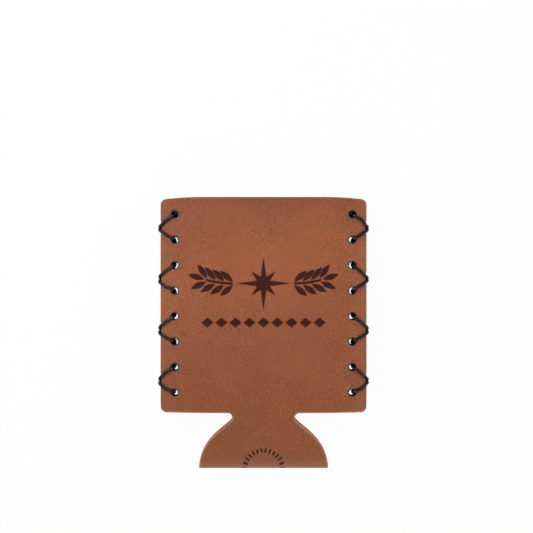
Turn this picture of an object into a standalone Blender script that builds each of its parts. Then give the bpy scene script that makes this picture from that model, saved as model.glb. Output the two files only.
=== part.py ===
"""A laced leather sleeve for a long-neck bottle, lying on its back panel.

One die-cut leather blank is folded once across its hourglass base, so that its two panels face each
other. A black cord laces each long edge with cross stitches, and its knot sits between the panels.

X runs across the sleeve, Y from the fold to the mouth and Z up through both panels. The origin is the
middle of the footprint, on the surface that the sleeve lies on.

The blank is modelled flat and then folded. On the flat blank, u runs across, s runs along from the fold
line (front panel at +s, back panel at -s) and w runs through the leather, from 0 on its inner side.
"""

import math

import bmesh
import bpy
from mathutils import Matrix, Vector
from mathutils.geometry import interpolate_bezier

# Leather blank
LEATHER = 0.0022
PANEL_WIDTH = 0.1000
PANEL_HEIGHT = 0.1050
PANEL_CORNER = 0.0028
LOWER_EDGE_RISE = 0.0002
MOUTH_DROOP = 0.0012
DROOP_LENGTH = 0.0200
BASE_WIDTH = 0.0630
BASE_REACH = 0.0274
NECK_WIDTH = 0.0305
NECK_FILLET = 0.0022
NECK_STRAIGHT = 0.0040
FLARE_ROUND = 0.0166
EDGE_CHAMFER = 0.0003

# Folded form
FOLD_INNER_RADIUS = 0.0012
EDGE_LIFT = 0.0031
CURVED_STRIP = 0.0250
RISE_INTO_PANEL = 0.0200

# Lacing
CORD_DIAMETER = 0.0015
CORD_CLEARANCE = 0.0003
STITCHES_PER_SIDE = 4
HOLE_PLAY = 0.0017
HOLE_INSET = 0.0070
MOUTH_TO_HOLE = 0.0084
END_TO_HOLE = 0.0099
EDGE_ROOM = 0.00075
EDGE_PULL = 0.00045
PULL_LENGTH = 0.0090
DIP_DEPTH = 0.0011
APEX_DROP = 0.0005
KNOT_WIDTH = 0.0042
KNOT_HEIGHT = 0.0036
KNOT_END_OFFSET = 0.00045

# Engraving
ENGRAVING_DEPTH = 0.00025
ENGRAVING_TO_HOLES = 0.0064
ENGRAVING_FROM_MOUTH = 0.0420
STAR_RADIUS = 0.0125
STAR_SHORT_RADIUS = 0.0080
STAR_POINTS = 8
STAR_WAIST = 0.0033
BRANCH_GAP = 0.0025
BRANCH_ARCH = 0.0050
STEM_WIDTH = 0.0010
LEAF_LENGTH = 0.0078
LEAF_WIDTH = 0.0027
LEAF_PITCH = 0.0042
LEAF_LEAN = math.radians(40)
LOZENGE_COUNT = 9
LOZENGE_LENGTH = 0.0056
LOZENGE_HEIGHT = 0.0046
LOZENGE_PITCH = 0.0068
LOZENGE_DROP = 0.0190
RING_RADIUS = 0.0093
RING_STROKES = 28
STROKE_LENGTH = 0.0021
STROKE_WIDTH = 0.0007

# Derived sizes
SHEET_MIDDLE = LEATHER / 2
FOLD_RADIUS = FOLD_INNER_RADIUS + SHEET_MIDDLE
FOLD_OUTER_RADIUS = FOLD_INNER_RADIUS + LEATHER
FOLD_HALF_ARC = FOLD_RADIUS * math.pi / 2
BASE_END = BASE_REACH - FOLD_OUTER_RADIUS + FOLD_HALF_ARC
BLANK_REACH = BASE_END + PANEL_HEIGHT
FOLD_GAP = 2 * FOLD_INNER_RADIUS
EDGE_GAP = CORD_DIAMETER + 2 * EDGE_ROOM
POCKET_GAP = EDGE_GAP + 2 * EDGE_LIFT
MIDDLE_HEIGHT = LEATHER + POCKET_GAP / 2
RISE_END = BASE_END + RISE_INTO_PANEL
FLAT_HALF_WIDTH = PANEL_WIDTH / 2 - CURVED_STRIP
FOLD_CENTRE_Y = (FOLD_OUTER_RADIUS - (BLANK_REACH - FOLD_HALF_ARC)) / 2

CORD_RADIUS = CORD_DIAMETER / 2
STAND_OFF = CORD_RADIUS + CORD_CLEARANCE
PASS_PITCH = CORD_DIAMETER + CORD_CLEARANCE
HOLE_RADIUS = CORD_RADIUS + HOLE_PLAY / 2
HOLES_PER_SIDE = 2 * STITCHES_PER_SIDE
FIRST_HOLE = BLANK_REACH - MOUTH_TO_HOLE
HOLE_PITCH = (PANEL_HEIGHT - MOUTH_TO_HOLE - END_TO_HOLE) / (HOLES_PER_SIDE - 1)
HOLE_COLUMN = PANEL_WIDTH / 2 - HOLE_INSET

ENGRAVING_CENTRE = BLANK_REACH - ENGRAVING_FROM_MOUTH
BRANCH_START = STAR_RADIUS + BRANCH_GAP
BRANCH_END = HOLE_COLUMN - ENGRAVING_TO_HOLES

# Colours
LEATHER_COLOUR = (0.292, 0.095, 0.047)
LEATHER_ROUGHNESS = 0.62
CORD_COLOUR = (0.012, 0.012, 0.014)
CORD_ROUGHNESS = 0.48

# Mesh resolution
ARC_STEPS = 4
FLARE_STEPS = 10
PULL_STEPS = 4
MOUTH_STEPS = 3
FOLD_CUTS = 8
RISE_CUTS = 6
STRIP_CUTS = 5
HOLE_SIDES = 16
LEAF_STEPS = 4
STEM_STEPS = 3
CORD_BEVEL_STEPS = 2
KNOT_SEGMENTS = 12
KNOT_RINGS = 8
MERGE_DISTANCE = 1e-7
CUT_MARGIN = 0.001
SLOPE_PROBE = 1e-5
FLAT_ANGLE = math.radians(0.5)
SHARP_ANGLE = math.radians(32)

FRONT = 1
BACK = -1
DIAGONAL = math.sqrt(0.5)


def clear_scene():
    for item in list(bpy.data.objects):
        bpy.data.objects.remove(item, do_unlink=True)


def new_collection(name):
    collection = bpy.data.collections.new(name)
    bpy.context.scene.collection.children.link(collection)
    return collection


def material(name, colour, roughness):
    """A plain finish. Nothing on the sleeve is metal."""
    made = bpy.data.materials.new(name)
    made.use_nodes = True
    shader = made.node_tree.nodes["Principled BSDF"]
    shader.inputs["Base Color"].default_value = (*colour, 1.0)
    shader.inputs["Roughness"].default_value = roughness
    shader.inputs["Metallic"].default_value = 0.0
    return made


def evaluated_mesh(item):
    depsgraph = bpy.context.evaluated_depsgraph_get()
    return bpy.data.meshes.new_from_object(item.evaluated_get(depsgraph))


def mesh_object(name, mesh, collection):
    item = bpy.data.objects.new(name, mesh)
    collection.objects.link(item)
    return item


def as_mesh(item, collection, merge_flats=False):
    """Turn a curve object into a mesh object with its caps welded on, and remove the curve."""
    mesh = evaluated_mesh(item)
    shape = bmesh.new()
    shape.from_mesh(mesh)
    bmesh.ops.remove_doubles(shape, verts=shape.verts, dist=MERGE_DISTANCE)
    if merge_flats:
        bmesh.ops.dissolve_limit(shape, angle_limit=FLAT_ANGLE, verts=shape.verts, edges=shape.edges)
    bmesh.ops.recalc_face_normals(shape, faces=shape.faces)
    shape.to_mesh(mesh)
    shape.free()
    name = item.name
    place = item.matrix_world.copy()
    bpy.data.objects.remove(item, do_unlink=True)
    solid = mesh_object(name, mesh, collection)
    solid.matrix_world = place
    return solid


def flat_curve(name, outlines, half_thickness, collection):
    """A filled 2D curve of closed outlines, thick in Z by twice half_thickness."""
    curve = bpy.data.curves.new(name, "CURVE")
    curve.dimensions = "2D"
    curve.fill_mode = "BOTH"
    curve.extrude = half_thickness
    for outline in outlines:
        spline = curve.splines.new("POLY")
        spline.points.add(len(outline) - 1)
        for point, (x, y) in zip(spline.points, outline):
            point.co = (x, y, 0.0, 1.0)
        spline.use_cyclic_u = True
    item = bpy.data.objects.new(name, curve)
    collection.objects.link(item)
    return item


def arc(centre, radius, start, end, steps=ARC_STEPS):
    """Points on an arc, with its angles in degrees and both of its ends included."""
    points = []
    for step in range(steps + 1):
        angle = math.radians(start + (end - start) * step / steps)
        points.append((centre[0] + radius * math.cos(angle), centre[1] + radius * math.sin(angle)))
    return points


def ease(share):
    share = min(max(share, 0.0), 1.0)
    return share * share * (3 - 2 * share)


# Form of the folded sleeve

def pocket_gap(s):
    """Gap between the two panels on the centre line, at a distance s from the fold line."""
    rise = ease((abs(s) - FOLD_HALF_ARC) / (RISE_END - FOLD_HALF_ARC))
    return FOLD_GAP + (POCKET_GAP - FOLD_GAP) * rise


def half_gap(u, s):
    """Half of the gap between the panels, which closes towards the laced edges."""
    gap = pocket_gap(s)
    closing = max(gap - EDGE_GAP, 0.0) / 2
    share = max(abs(u) - FLAT_HALF_WIDTH, 0.0) / CURVED_STRIP
    return gap / 2 - closing * share * share


def panel_middle(u, s):
    """A point halfway through the leather of a panel."""
    side = FRONT if s > 0 else BACK
    y = FOLD_CENTRE_Y + abs(s) - FOLD_HALF_ARC
    z = MIDDLE_HEIGHT + side * (half_gap(u, s) + SHEET_MIDDLE)
    return Vector((u, y, z))


def leather_point(u, s, w):
    """Where a point of the flat blank lies once the blank is folded."""
    if abs(s) <= FOLD_HALF_ARC:
        angle = s / FOLD_RADIUS
        outward = Vector((0.0, -math.cos(angle), math.sin(angle)))
        middle = Vector((u, FOLD_CENTRE_Y, MIDDLE_HEIGHT)) + outward * FOLD_RADIUS
        return middle + outward * (w - SHEET_MIDDLE)
    across = panel_middle(u + SLOPE_PROBE, s) - panel_middle(u - SLOPE_PROBE, s)
    along = panel_middle(u, s + SLOPE_PROBE) - panel_middle(u, s - SLOPE_PROBE)
    outward = across.cross(along).normalized()
    return panel_middle(u, s) + outward * (w - SHEET_MIDDLE)


def hole_place(index):
    """Distance of a lacing hole from the fold line, counted from the mouth."""
    return FIRST_HOLE - index * HOLE_PITCH


def stitch_place(stitch):
    return (hole_place(2 * stitch) + hole_place(2 * stitch + 1)) / 2


def edge_line(s):
    """Half width of a panel at s: each cross stitch draws the edge in a little."""
    pull = 0.0
    for stitch in range(STITCHES_PER_SIDE):
        distance = abs(s - stitch_place(stitch))
        if distance < PULL_LENGTH / 2:
            pull = EDGE_PULL * math.cos(math.pi * distance / PULL_LENGTH) ** 2
    return PANEL_WIDTH / 2 - pull


# Leather blank

def mouth_line(u):
    """The mouth edge, which falls a little towards each corner."""
    share = max(abs(u) - (PANEL_WIDTH / 2 - DROOP_LENGTH), 0.0) / DROOP_LENGTH
    return BLANK_REACH - MOUTH_DROOP * share * share


def flare_points():
    """The base's side, from the fold line to the neck."""
    start = Vector((BASE_WIDTH / 2, 0.0))
    pull_start = Vector((BASE_WIDTH / 2, FLARE_ROUND))
    end = Vector((NECK_WIDTH / 2, BASE_END - NECK_FILLET))
    pull_end = Vector((NECK_WIDTH / 2, BASE_END - NECK_FILLET - NECK_STRAIGHT))
    curve = interpolate_bezier(start, pull_start, pull_end, end, FLARE_STEPS + 1)
    return [(point.x, point.y) for point in curve]


def quarter_outline():
    """A quarter of the blank's outline, from the fold line's end to the middle of the mouth."""
    half = PANEL_WIDTH / 2
    points = flare_points()
    fillet_centre = (NECK_WIDTH / 2 + NECK_FILLET, BASE_END - NECK_FILLET)
    points += arc(fillet_centre, NECK_FILLET, 180, 90)[1:]
    lower_corner_s = BASE_END + LOWER_EDGE_RISE + PANEL_CORNER
    points += arc((half - PANEL_CORNER, lower_corner_s), PANEL_CORNER, -90, 0)
    for stitch in reversed(range(STITCHES_PER_SIDE)):
        for step in range(PULL_STEPS + 1):
            s = stitch_place(stitch) + PULL_LENGTH * (step / PULL_STEPS - 0.5)
            points.append((edge_line(s), s))
    corner_u = half - PANEL_CORNER
    corner_s = mouth_line(corner_u) - PANEL_CORNER
    points += arc((corner_u, corner_s), PANEL_CORNER, 0, 90)
    for step in range(1, MOUTH_STEPS + 1):
        u = corner_u - (DROOP_LENGTH - PANEL_CORNER) * step / MOUTH_STEPS
        points.append((u, mouth_line(u)))
    return points


def blank_outline():
    quarter = quarter_outline()
    front_right = quarter
    front_left = [(-u, s) for u, s in reversed(quarter)]
    back_left = [(-u, -s) for u, s in quarter[1:]]
    back_right = [(u, -s) for u, s in reversed(quarter[1:])]
    return front_right + front_left + back_left + back_right


def flat_blank(collection):
    curve = flat_curve("blank", [blank_outline()], SHEET_MIDDLE - EDGE_CHAMFER, collection)
    curve.data.bevel_depth = EDGE_CHAMFER
    curve.data.bevel_resolution = 0
    curve.data.offset = -EDGE_CHAMFER
    curve.location.z = SHEET_MIDDLE
    bpy.context.view_layer.update()
    return as_mesh(curve, collection, merge_flats=True)


def divide(shape, place, normal):
    everything = shape.verts[:] + shape.edges[:] + shape.faces[:]
    bmesh.ops.bisect_plane(shape, geom=everything, plane_co=place, plane_no=normal, dist=MERGE_DISTANCE)


def hole_cutter(collection):
    """One round punch for each lacing hole of both panels."""
    shape = bmesh.new()
    depth = LEATHER + 2 * CUT_MARGIN
    for side in (FRONT, BACK):
        for column in (-HOLE_COLUMN, HOLE_COLUMN):
            for index in range(HOLES_PER_SIDE):
                place = Matrix.Translation((column, side * hole_place(index), SHEET_MIDDLE))
                bmesh.ops.create_cone(
                    shape,
                    cap_ends=True,
                    segments=HOLE_SIDES,
                    radius1=HOLE_RADIUS,
                    radius2=HOLE_RADIUS,
                    depth=depth,
                    matrix=place,
                )
    mesh = bpy.data.meshes.new("hole_punches")
    shape.to_mesh(mesh)
    shape.free()
    return mesh_object("hole_punches", mesh, collection)


# Engraving

def star_outline():
    """An eight-pointed star with its long points up, down and sideways."""
    outline = []
    for point in range(STAR_POINTS):
        reach = STAR_SHORT_RADIUS if point % 2 else STAR_RADIUS
        angle = 2 * math.pi * point / STAR_POINTS
        outline.append((reach * math.cos(angle), reach * math.sin(angle)))
        angle += math.pi / STAR_POINTS
        outline.append((STAR_WAIST * math.cos(angle), STAR_WAIST * math.sin(angle)))
    return outline


def turned(outline, direction, place):
    """An outline turned to a direction and moved to a place."""
    cosine = math.cos(direction)
    sine = math.sin(direction)
    return [(place[0] + x * cosine - y * sine, place[1] + x * sine + y * cosine) for x, y in outline]


def leaf_edge(share, side):
    return LEAF_LENGTH * share, side * LEAF_WIDTH / 2 * math.sin(math.pi * share)


def leaf_outline():
    """A pointed leaf along +X, with its root at the origin."""
    upper = [leaf_edge(step / LEAF_STEPS, 1) for step in range(LEAF_STEPS + 1)]
    lower = [leaf_edge(step / LEAF_STEPS, -1) for step in range(LEAF_STEPS - 1, 0, -1)]
    return lower[::-1] + upper[::-1]


def stem_point(x):
    """A point of the branch's stem, and the direction of the stem there."""
    reach = BRANCH_END - BRANCH_START
    share = (x - BRANCH_START) / reach
    direction = math.atan(2 * BRANCH_ARCH * share / reach)
    return (x, BRANCH_ARCH * share * share), direction


def stem_outline(stem_end):
    places = [BRANCH_START + (stem_end - BRANCH_START) * step / STEM_STEPS for step in range(STEM_STEPS + 1)]
    lower = []
    upper = []
    for x in places:
        (along, height), _ = stem_point(x)
        lower.append((along, height - STEM_WIDTH / 2))
        upper.append((along, height + STEM_WIDTH / 2))
    return lower + upper[::-1]


def branch_outlines():
    """The branch on the right of the star: a stem, opposite leaves and one leaf at the tip."""
    stem_end = BRANCH_END - LEAF_LENGTH - STEM_WIDTH
    outlines = [stem_outline(stem_end)]
    pairs = int((stem_end - BRANCH_START) / LEAF_PITCH) + 1
    for pair in range(pairs):
        place, direction = stem_point(BRANCH_START + pair * LEAF_PITCH)
        for side in (1, -1):
            angle = direction + side * LEAF_LEAN
            off_stem = direction + side * math.pi / 2
            root = (place[0] + STEM_WIDTH * math.cos(off_stem), place[1] + STEM_WIDTH * math.sin(off_stem))
            outlines.append(turned(leaf_outline(), angle, root))
    tip, direction = stem_point(stem_end + STEM_WIDTH)
    outlines.append(turned(leaf_outline(), direction, tip))
    return outlines


def lozenge_outlines():
    """A row of lozenges below the star."""
    outlines = []
    for number in range(LOZENGE_COUNT):
        x = (number - (LOZENGE_COUNT - 1) / 2) * LOZENGE_PITCH
        half_length = LOZENGE_LENGTH / 2
        half_height = LOZENGE_HEIGHT / 2
        corners = [(half_length, 0.0), (0.0, half_height), (-half_length, 0.0), (0.0, -half_height)]
        outlines.append(turned(corners, 0.0, (x, -LOZENGE_DROP)))
    return outlines


def ring_outlines():
    """A ring of short strokes around the middle of the base."""
    inner = RING_RADIUS - STROKE_LENGTH / 2
    outer = RING_RADIUS + STROKE_LENGTH / 2
    half = STROKE_WIDTH / 2
    stroke = [(inner, -half), (outer, -half), (outer, half), (inner, half)]
    turns = [2 * math.pi * (number + 0.5) / RING_STROKES for number in range(RING_STROKES)]
    return [turned(stroke, turn, (0.0, 0.0)) for turn in turns]


def engraving_outlines():
    right = branch_outlines()
    left = [[(-x, y) for x, y in reversed(outline)] for outline in right]
    motif = [star_outline()] + right + left + lozenge_outlines()
    placed = [turned(outline, 0.0, (0.0, ENGRAVING_CENTRE)) for outline in motif]
    return placed + ring_outlines()


def engraving_cutter(collection):
    curve = flat_curve("engraving", engraving_outlines(), ENGRAVING_DEPTH, collection)
    curve.location.z = LEATHER
    bpy.context.view_layer.update()
    return as_mesh(curve, collection, merge_flats=True)


# Folding

def fold_lines():
    """Places along the blank where it is divided, so that it can bend there."""
    lines = [FOLD_HALF_ARC * (2 * cut / FOLD_CUTS - 1) for cut in range(FOLD_CUTS + 1)]
    for cut in range(1, RISE_CUTS + 1):
        place = FOLD_HALF_ARC + (RISE_END - FOLD_HALF_ARC) * cut / RISE_CUTS
        lines += [place, -place]
    return lines


def strip_lines():
    """Places across the blank where it is divided, so that its long edges can curve."""
    lines = []
    for cut in range(STRIP_CUTS):
        place = FLAT_HALF_WIDTH + CURVED_STRIP * cut / STRIP_CUTS
        lines += [place, -place]
    return lines


def folded(blank):
    """The cut blank's mesh, divided along its bends and moved point by point to its folded place."""
    shape = bmesh.new()
    shape.from_mesh(evaluated_mesh(blank))
    shape.transform(blank.matrix_world)
    bmesh.ops.remove_doubles(shape, verts=shape.verts, dist=MERGE_DISTANCE)
    bmesh.ops.dissolve_limit(shape, angle_limit=FLAT_ANGLE, verts=shape.verts, edges=shape.edges)
    for s in fold_lines():
        divide(shape, (0.0, s, 0.0), (0.0, 1.0, 0.0))
    for u in strip_lines():
        divide(shape, (u, 0.0, 0.0), (1.0, 0.0, 0.0))
    bmesh.ops.triangulate(shape, faces=shape.faces)
    for vertex in shape.verts:
        u, s, w = vertex.co
        vertex.co = leather_point(u, s, w)
    mesh = bpy.data.meshes.new("leather_sleeve")
    shape.to_mesh(mesh)
    shape.free()
    return mesh


def leather_sleeve(parts, cutters):
    blank = flat_blank(cutters)
    for cutter in (hole_cutter(cutters), engraving_cutter(cutters)):
        cut = blank.modifiers.new(cutter.name, "BOOLEAN")
        cut.operation = "DIFFERENCE"
        cut.object = cutter
    sleeve = mesh_object("leather_sleeve", folded(blank), parts)
    sleeve.data.materials.append(material("brown_leather", LEATHER_COLOUR, LEATHER_ROUGHNESS))
    return sleeve


# Laces

def lace_passes():
    """Each pass of the cord round the laced edge, as the hole it leaves, the hole it enters, and whether it
    dips into the gap between the edges where it crosses the stitch's other pass. The cord goes down the
    edge and comes back up."""
    down = []
    side = FRONT
    for stitch in range(STITCHES_PER_SIDE):
        down.append(((side, 2 * stitch), (-side, 2 * stitch + 1), stitch % 2 == 1))
        side = -side
    up = [((start[0], end[1]), (end[0], start[1]), not dips) for start, end, dips in reversed(down)]
    return down + up


def beside_hole(hole, direction, reach, w):
    """A point at depth w and at a reach from a hole's axis, along a direction (across, along)."""
    side, index = hole
    u = HOLE_COLUMN + direction[0] * reach
    s = hole_place(index) + direction[1] * reach
    return leather_point(u, side * s, w)


def rim_turn(hole, direction, surface, outward):
    """The cord's turn over the rim of a hole, from the hole onto one face of the leather."""
    diagonal = STAND_OFF * DIAGONAL
    return [
        beside_hole(hole, direction, HOLE_RADIUS - STAND_OFF, surface),
        beside_hole(hole, direction, HOLE_RADIUS - diagonal, surface + outward * diagonal),
        beside_hole(hole, direction, HOLE_RADIUS, surface + outward * STAND_OFF),
    ]


def inner_turn(hole, neighbour):
    """The cord's turn onto the inner face towards a neighbour hole of the same panel, or straight through the
    pocket, on the side of the hole that the stitches pull it to. At the knot it comes from the middle."""
    if neighbour is None:
        return [beside_hole(hole, (0.0, 0.0), 0.0, 0.0)]
    if neighbour[0] != hole[0]:
        return [beside_hole(hole, (1.0, 0.0), HOLE_RADIUS - STAND_OFF, 0.0)]
    way = 1.0 if neighbour[1] < hole[1] else -1.0
    return rim_turn(hole, (DIAGONAL, way * DIAGONAL), 0.0, -1)


def edge_stations(dips):
    """How half of a pass rounds the edge: distance past the edge, depth w, and distance from the stitch's
    middle, from the outer face to the middle of the gap. A stitch's two passes meet side by side on the
    edge and cross in the gap."""
    diagonal = STAND_OFF * DIAGONAL
    beside = PASS_PITCH / 2
    stations = [
        (0.0, LEATHER + STAND_OFF, beside),
        (diagonal, LEATHER + diagonal, beside),
        (STAND_OFF, LEATHER, beside),
    ]
    if dips:
        stations += [
            (STAND_OFF, 0.0, PASS_PITCH),
            (diagonal, -diagonal, PASS_PITCH),
            (0.0, -STAND_OFF, PASS_PITCH),
            (-DIP_DEPTH, -EDGE_GAP / 2, 0.0),
        ]
    else:
        stations += [
            (STAND_OFF, 0.0, beside * EDGE_GAP / (EDGE_GAP + 2 * LEATHER)),
            (STAND_OFF, -EDGE_GAP / 2, 0.0),
        ]
    return stations


def edge_point(side, station, middle, way):
    past_edge, w, along = station
    s = middle + way * along
    return leather_point(edge_line(s) + past_edge, side * s, w)


def round_edge(start, end, dips):
    """The cord's points from the hole it leaves, round the edge, to the hole it enters."""
    middle = (hole_place(start[1]) + hole_place(end[1])) / 2 - APEX_DROP
    way = 1.0 if start[1] < end[1] else -1.0
    stations = edge_stations(dips)
    corner_s = middle + way * stations[0][2]
    leg = Vector((edge_line(corner_s) - HOLE_COLUMN, corner_s - hole_place(start[1]))).normalized()
    leaving = rim_turn(start, (leg.x, leg.y), LEATHER, 1)
    entering = rim_turn(end, (leg.x, -leg.y), LEATHER, 1)
    first = [edge_point(start[0], station, middle, way) for station in stations]
    second = [edge_point(end[0], station, middle, -way) for station in stations]
    crossing = (first.pop() + second.pop()) / 2
    return leaving + first + [crossing] + second[::-1] + entering[::-1]


def knot_centre():
    y = FOLD_CENTRE_Y + hole_place(0) - FOLD_HALF_ARC
    return Vector((HOLE_COLUMN, y, MIDDLE_HEIGHT))


def lace_route():
    """The cord's route on the right edge, from its knot and back to it."""
    passes = lace_passes()
    apart = Vector((0.0, 0.0, KNOT_END_OFFSET))
    route = [knot_centre() + apart]
    for number, (start, end, dips) in enumerate(passes):
        before = passes[number - 1][1] if number > 0 else None
        after = passes[number + 1][0] if number + 1 < len(passes) else None
        route += inner_turn(start, before)[::-1]
        route += round_edge(start, end, dips)
        route += inner_turn(end, after)
    route.append(knot_centre() - apart)
    return route


def cord_tube(name, route, collection):
    curve = bpy.data.curves.new(name, "CURVE")
    curve.dimensions = "3D"
    curve.bevel_depth = CORD_RADIUS
    curve.bevel_resolution = CORD_BEVEL_STEPS
    curve.use_fill_caps = True
    spline = curve.splines.new("POLY")
    spline.points.add(len(route) - 1)
    for point, place in zip(spline.points, route):
        point.co = (*place, 1.0)
    item = bpy.data.objects.new(name, curve)
    collection.objects.link(item)
    bpy.context.view_layer.update()
    return as_mesh(item, collection)


def knot_ball(name, centre, collection):
    shape = bmesh.new()
    bmesh.ops.create_uvsphere(shape, u_segments=KNOT_SEGMENTS, v_segments=KNOT_RINGS, radius=0.5)
    bmesh.ops.scale(shape, vec=(KNOT_WIDTH, KNOT_WIDTH, KNOT_HEIGHT), verts=shape.verts)
    bmesh.ops.translate(shape, vec=centre, verts=shape.verts)
    mesh = bpy.data.meshes.new(name)
    shape.to_mesh(mesh)
    shape.free()
    return mesh_object(name, mesh, collection)


def lace(name, mirrored, cord_material, parts, cutters):
    way = -1.0 if mirrored else 1.0
    route = [Vector((way * point.x, point.y, point.z)) for point in lace_route()]
    centre = knot_centre()
    centre.x *= way
    tube = cord_tube(name + "_tube", route, cutters)
    joined = tube.modifiers.new("knot", "BOOLEAN")
    joined.operation = "UNION"
    joined.object = knot_ball(name + "_knot", centre, cutters)
    cord = mesh_object(name, evaluated_mesh(tube), parts)
    cord.data.name = name
    cord.data.materials.clear()
    cord.data.materials.append(cord_material)
    return cord


def main():
    clear_scene()
    parts = new_collection("leather_bottle_sleeve")
    cutters = new_collection("cutters")
    cord_material = material("black_waxed_cord", CORD_COLOUR, CORD_ROUGHNESS)
    pieces = [
        leather_sleeve(parts, cutters),
        lace("right_lace", False, cord_material, parts, cutters),
        lace("left_lace", True, cord_material, parts, cutters),
    ]
    for item in list(cutters.objects):
        bpy.data.objects.remove(item, do_unlink=True)
    bpy.data.collections.remove(cutters)
    for piece in pieces:
        piece.data.shade_smooth()
        piece.data.set_sharp_from_angle(angle=SHARP_ANGLE)


main()
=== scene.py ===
"""The looks of a laced leather bottle sleeve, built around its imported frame.

The leather is one fine sheet, made flat and then folded by the same rules as its solid. On the flat blank,
u runs across, s runs along from the fold line (front panel at +s, back panel at -s) and w runs through the
leather, from 0 on its inner side. Each lace is a braided cord on the route of its solid. Lengths are in
metres, X runs across the sleeve, Y from the fold to the mouth and Z up.
"""

import math

import bpy
import numpy as np
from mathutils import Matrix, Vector
from mathutils.geometry import delaunay_2d_cdt, interpolate_bezier
from mathutils.kdtree import KDTree

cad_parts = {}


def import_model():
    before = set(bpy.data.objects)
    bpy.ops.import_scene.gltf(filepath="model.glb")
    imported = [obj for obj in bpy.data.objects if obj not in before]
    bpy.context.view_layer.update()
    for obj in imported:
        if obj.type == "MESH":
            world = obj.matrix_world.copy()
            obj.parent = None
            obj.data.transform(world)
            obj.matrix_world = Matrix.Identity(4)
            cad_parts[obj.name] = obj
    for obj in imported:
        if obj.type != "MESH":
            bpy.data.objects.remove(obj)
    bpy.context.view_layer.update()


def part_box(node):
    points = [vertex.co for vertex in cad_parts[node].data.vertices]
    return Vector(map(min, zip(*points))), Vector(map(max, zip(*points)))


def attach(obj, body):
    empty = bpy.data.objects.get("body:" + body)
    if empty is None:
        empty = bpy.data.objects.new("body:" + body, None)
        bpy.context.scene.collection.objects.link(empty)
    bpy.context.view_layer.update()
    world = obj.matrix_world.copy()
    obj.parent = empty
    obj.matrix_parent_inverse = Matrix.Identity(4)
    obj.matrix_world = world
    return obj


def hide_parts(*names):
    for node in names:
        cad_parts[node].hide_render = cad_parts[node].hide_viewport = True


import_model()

# Leather blank
LEATHER = 0.0022
PANEL_WIDTH = 0.1000
PANEL_HEIGHT = 0.1050
PANEL_CORNER = 0.0028
LOWER_EDGE_RISE = 0.0002
MOUTH_DROOP = 0.0012
DROOP_LENGTH = 0.0200
BASE_WIDTH = 0.0630
BASE_REACH = 0.0274
NECK_WIDTH = 0.0305
NECK_FILLET = 0.0022
NECK_STRAIGHT = 0.0040
FLARE_ROUND = 0.0166

# Folded form
FOLD_INNER_RADIUS = 0.0012
EDGE_LIFT = 0.0031
CURVED_STRIP = 0.0250
RISE_INTO_PANEL = 0.0200

# Lacing
CORD_DIAMETER = 0.0015
CORD_SEAT = 0.00002
CORD_PRESS = 0.00012
STITCHES_PER_SIDE = 4
HOLE_PLAY = 0.0017
HOLE_INSET = 0.0070
MOUTH_TO_HOLE = 0.0084
END_TO_HOLE = 0.0099
EDGE_ROOM = 0.00075
EDGE_PULL = 0.00045
PULL_LENGTH = 0.0090
DIP_DEPTH = 0.0009
APEX_DROP = 0.0005
APEX_ALONG = (0.00125, 0.00085, 0.00060)
SPAN_SHARES = (0.15, 0.50, 0.85)

# Stitches from the mouth down: the spread of their apexes, and the bow of the upper and of the lower leg
RIGHT_STITCHES = (
    (1.00, 0.95, 1.35, 1.15),
    (0.00095, 0.00020, 0.00030, 0.00025),
    (0.00015, 0.00020, 0.00015, 0.00075),
)
LEFT_STITCHES = (
    (1.10, 1.55, 1.60, 1.45),
    (0.00045, 0.00015, 0.00020, 0.00050),
    (0.00015, 0.00050, 0.00025, 0.00065),
)

# Engraving
ENGRAVING_DEPTH = 0.00025
ENGRAVING_WALL = 0.00008
ENGRAVING_TO_HOLES = 0.0064
ENGRAVING_FROM_MOUTH = 0.0420
STAR_RADIUS = 0.0125
STAR_SHORT_RADIUS = 0.0080
STAR_WAIST = 0.0033
STAR_POINTS = 8
BRANCH_GAP = 0.0025
BRANCH_ARCH = 0.0050
STEM_WIDTH = 0.0010
LEAF_LENGTH = 0.0078
LEAF_WIDTH = 0.0027
LEAF_PITCH = 0.0042
LEAF_LEAN = math.radians(40)
LOZENGE_COUNT = 9
LOZENGE_LENGTH = 0.0056
LOZENGE_HEIGHT = 0.0046
LOZENGE_PITCH = 0.0068
LOZENGE_DROP = 0.0190
RING_RADIUS = 0.0093
RING_STROKES = 28
STROKE_LENGTH = 0.0021
STROKE_WIDTH = 0.0007

# Derived sizes
SHEET_MIDDLE = LEATHER / 2
FOLD_RADIUS = FOLD_INNER_RADIUS + SHEET_MIDDLE
FOLD_OUTER_RADIUS = FOLD_INNER_RADIUS + LEATHER
FOLD_HALF_ARC = FOLD_RADIUS * math.pi / 2
BASE_END = BASE_REACH - FOLD_OUTER_RADIUS + FOLD_HALF_ARC
BLANK_REACH = BASE_END + PANEL_HEIGHT
FOLD_GAP = 2 * FOLD_INNER_RADIUS
EDGE_GAP = CORD_DIAMETER + 2 * EDGE_ROOM
POCKET_GAP = EDGE_GAP + 2 * EDGE_LIFT
MIDDLE_HEIGHT = LEATHER + POCKET_GAP / 2
RISE_END = BASE_END + RISE_INTO_PANEL
FLAT_HALF_WIDTH = PANEL_WIDTH / 2 - CURVED_STRIP
FOLD_CENTRE_Y = (FOLD_OUTER_RADIUS - (BLANK_REACH - FOLD_HALF_ARC)) / 2

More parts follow.
